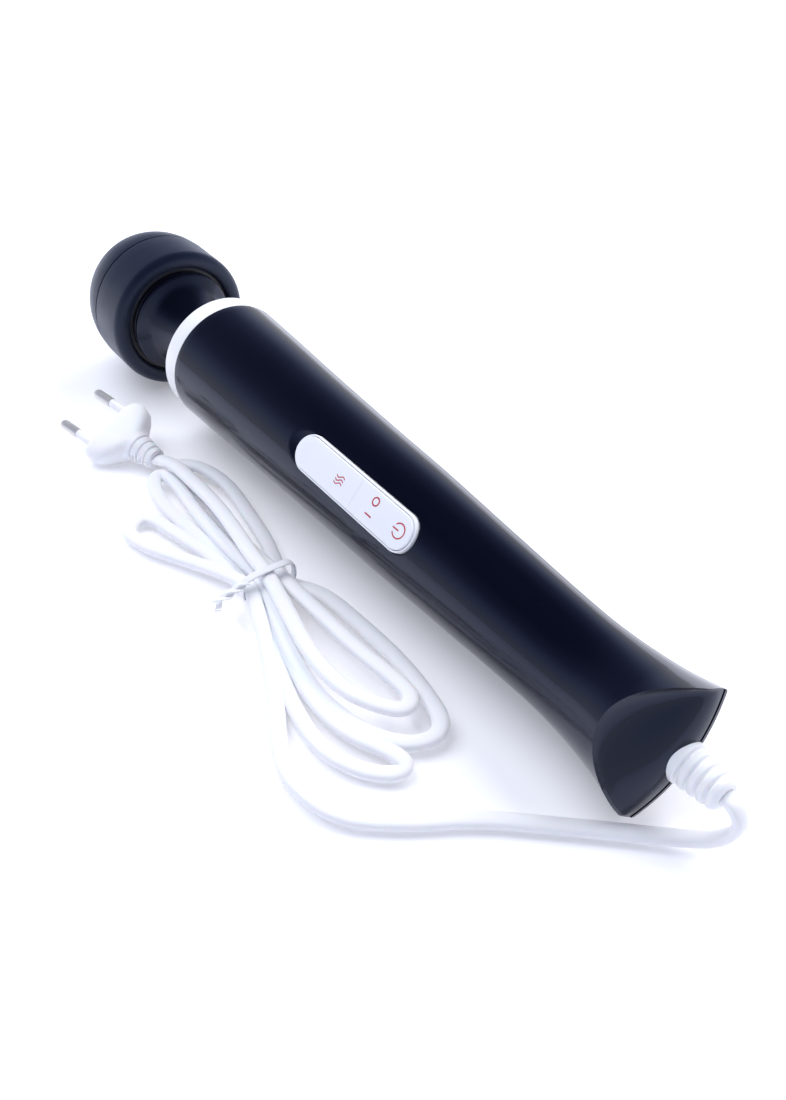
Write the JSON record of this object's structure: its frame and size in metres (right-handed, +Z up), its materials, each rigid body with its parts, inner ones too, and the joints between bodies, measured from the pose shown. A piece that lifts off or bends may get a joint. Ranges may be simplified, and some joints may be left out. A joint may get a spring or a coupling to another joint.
{
  "type": "handheld wand massager",
  "caption": "Corded wand massager: domed silicone head on a flexible neck, gloss handle with a two-key panel, mains cord tied in a hank with a flat two-pin plug.",
  "frame": {"origin": "centre of the wand's footprint on the table, at table height; the cord, its hank and its plug are left out of the footprint", "axes": "+X along the wand from the domed head to the cord end, +Z up from the table, +Y away from the side that the key panel faces"},
  "size_m": [0.3555, 0.112, 0.0591],
  "materials": {
    "cap_silicone": "matte silicone with a soft sheen",
    "boot_rubber": "glossy black rubber",
    "shell_gloss": "high gloss black, moulded",
    "white_gloss": "white, smooth",
    "key_white": "white keys with small red printed signs",
    "white_soft": "white flexible moulding",
    "cord_white": "white flexible cord jacket",
    "tie_white": "white plastic-coated twist tie",
    "pin_metal": "nickel plated brass",
    "inner_plastic": "moulded, unpainted",
    "inner_rubber": "soft black rubber",
    "mat_rubber": "translucent grey silicone",
    "steel": "zinc plated",
    "weight_steel": "turned steel",
    "motor_steel": "drawn can, plated",
    "rotor_steel": "laminated core",
    "ferrite": "sintered magnet",
    "brass": "turned",
    "board": "green circuit board",
    "copper": "wound choke in yellow tape",
    "fuse_glass": "glass tube",
    "lead_brown": "insulated lead",
    "lead_blue": "insulated lead",
    "lead_red": "insulated lead",
    "lead_black": "insulated lead"
  },
  "bodies": {
    "handle": {"upper_shell": "shell_gloss", "lower_shell": "shell_gloss", "shell_screws": "steel", "collar_ring": "white_gloss", "motor_can": "motor_steel", "motor_end_cap": "inner_plastic", "motor_magnets": "ferrite", "motor_mount": "motor_steel", "motor_screws": "steel", "motor_dampers": "inner_rubber", "panel_frame": "white_gloss", "keypad_mat": "mat_rubber", "mode_switch": "inner_plastic", "power_switch": "inner_plastic", "control_board": "board", "control_board_screws": "steel", "power_board": "board", "power_board_screws": "steel", "choke": "copper", "capacitor": "motor_steel", "fuse": "fuse_glass", "rectifier": "inner_plastic", "strain_relief": "white_soft", "cord_clamp": "inner_plastic", "clamp_screws": "steel", "inner_cord": "cord_white", "mains_lead_live": "lead_brown", "mains_lead_neutral": "lead_blue", "motor_lead_a": "lead_red", "motor_lead_b": "lead_black", "power_cord": "cord_white", "plug_lead": "cord_white", "cord_hank": "cord_white", "cord_tie": "tie_white", "plug_body": "white_gloss", "plug_pins": "pin_metal", "pin_sleeves": "white_gloss"},
    "neck": {"neck_boot": "boot_rubber", "drive_coupling": "inner_rubber"},
    "head": {"head_cap": "cap_silicone", "head_housing": "inner_plastic", "head_end_plate": "inner_plastic", "head_screws": "steel", "front_bearing": "steel", "rear_bearing": "steel"},
    "eccentric": {"eccentric_shaft": "steel", "eccentric_weight": "weight_steel", "front_coupler": "brass"},
    "motor_rotor": {"motor_rotor": "rotor_steel", "rear_coupler": "brass"},
    "power_button": {"power_button": "key_white", "power_plunger": "inner_plastic"},
    "mode_button": {"mode_button": "key_white", "mode_plunger": "inner_plastic"}
  },
  "joints": [
    {"name": "neck_pitch", "type": "hinge", "parent": "handle", "child": "neck", "pos_m": [-0.10652, 0, 0.02876], "axis": [0.0235, 0.6277, 0.7781], "range_deg": [-15, 15], "stiffness_Nm_per_rad": 9, "deforming": ["neck_boot", "drive_coupling"]},
    {"name": "neck_yaw", "type": "hinge", "parent": "neck", "child": "head", "pos_m": [-0.10652, 0, 0.02876], "axis": [0.019, -0.7785, 0.6274], "range_deg": [-15, 15], "stiffness_Nm_per_rad": 9, "deforming": ["neck_boot", "drive_coupling"]},
    {"name": "motor_spin", "type": "hinge", "parent": "handle", "child": "motor_rotor", "pos_m": [-0.04554, 0, 0.02692], "axis": [0.9995, 0, -0.0302], "continuous": true},
    {"name": "eccentric_spin", "type": "hinge", "parent": "head", "child": "eccentric", "pos_m": [-0.1455, 0, 0.02994], "axis": [0.9995, 0, -0.0302], "continuous": true},
    {"name": "power_press", "type": "slide", "parent": "handle", "child": "power_button", "axis": [-0.0486, 0.7781, -0.6262], "range_m": [0, 0.0004], "stiffness_N_per_m": 3000, "deforming": ["keypad_mat"]},
    {"name": "mode_press", "type": "slide", "parent": "handle", "child": "mode_button", "axis": [-0.0486, 0.7781, -0.6262], "range_m": [0, 0.0004], "stiffness_N_per_m": 3000, "deforming": ["keypad_mat"]}
  ],
  "couplings": [
    {"joint": "eccentric_spin", "follows": "motor_spin", "ratio": 1}
  ]
}
